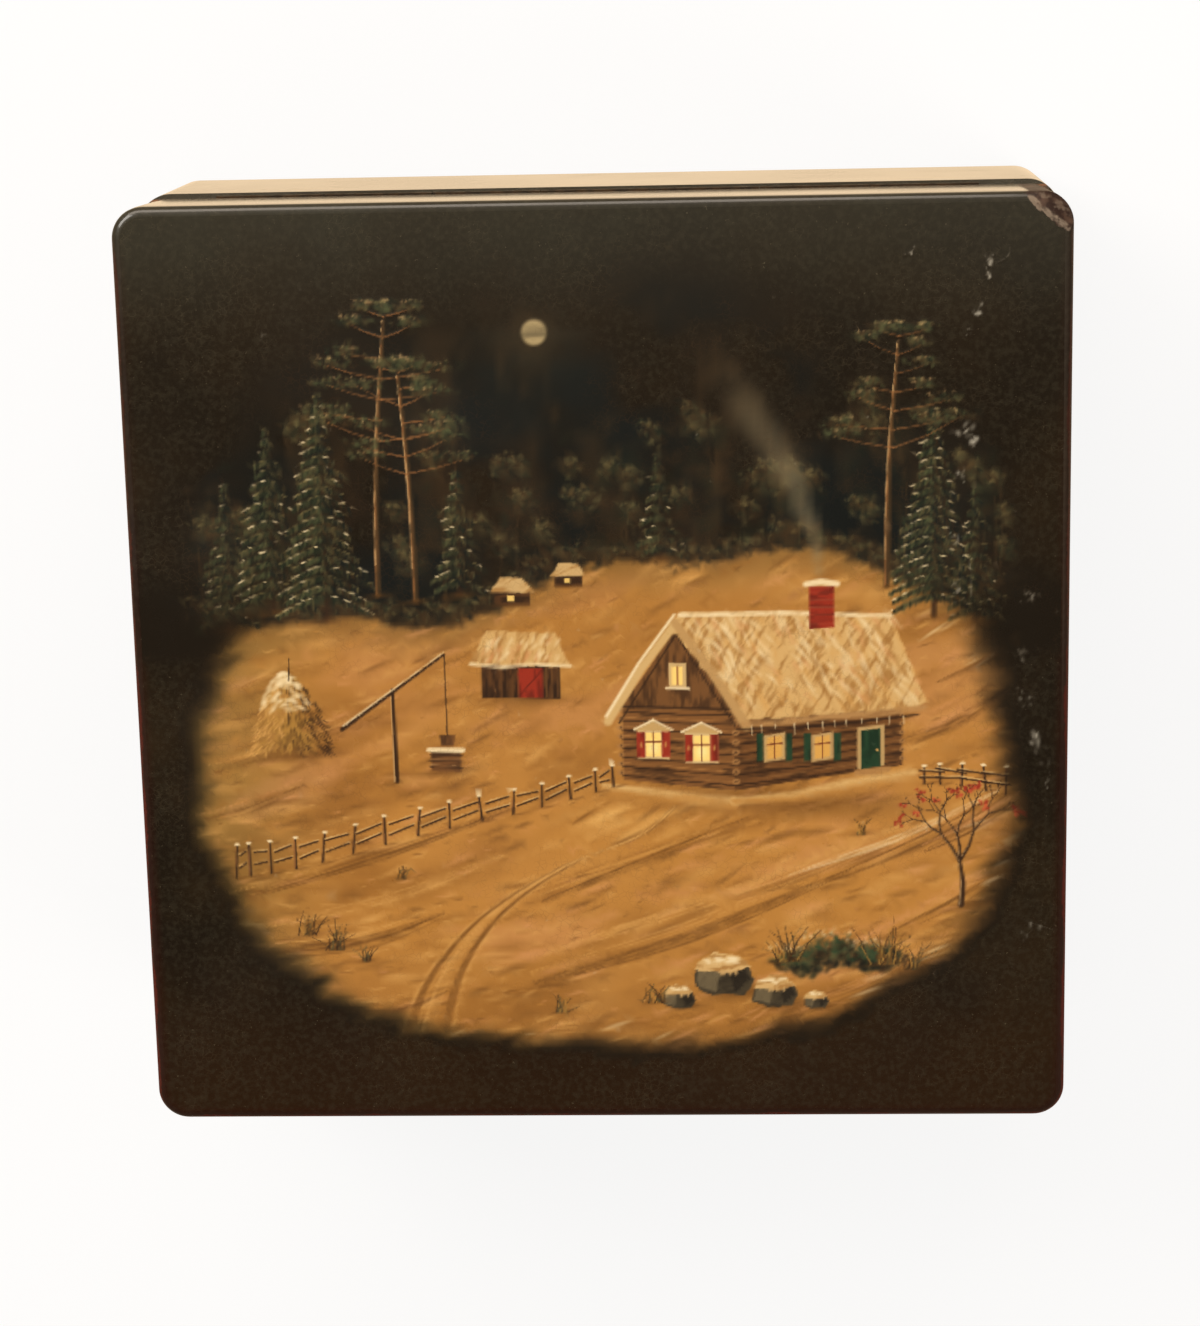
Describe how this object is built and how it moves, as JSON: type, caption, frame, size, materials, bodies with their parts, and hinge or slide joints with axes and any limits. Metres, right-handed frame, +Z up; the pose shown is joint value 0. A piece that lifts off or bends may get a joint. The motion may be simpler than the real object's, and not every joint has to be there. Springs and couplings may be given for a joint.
{
  "type": "lacquer box",
  "caption": "Square papier-mache lacquer box with rounded corners and a deep hinged lid that swings up on a barrel hinge sunk in the rear of the seam.",
  "frame": {"origin": "middle of the box's footprint, on the plane of its underside", "axes": "+Z up through the lid; +Y towards the hinge side, which is the top of the lid's picture; +X to the right of someone who opens the box from the front"},
  "size_m": [0.15, 0.151, 0.057],
  "materials": {
    "black_lacquer": "gloss",
    "red_lacquer": "gloss",
    "painted_lacquer": "gloss",
    "hinge_brass": "satin",
    "hinge_wire": "satin"
  },
  "bodies": {
    "body": {"body_wall": "black_lacquer", "base_board": "black_lacquer", "locating_hoop": "red_lacquer", "body_hinge_leaf": "hinge_brass", "hinge_pin": "hinge_wire", "body_leaf_brads": "hinge_brass"},
    "lid": {"lid_wall": "black_lacquer", "lid_panel": "painted_lacquer", "lid_hinge_leaf": "hinge_brass", "lid_leaf_brads": "hinge_brass"}
  },
  "joints": [
    {"name": "lid_hinge", "type": "hinge", "parent": "body", "child": "lid", "pos_m": [0, 0.0737, 0.03265], "axis": [-1, 0, 0], "range_deg": [0, 95]}
  ]
}
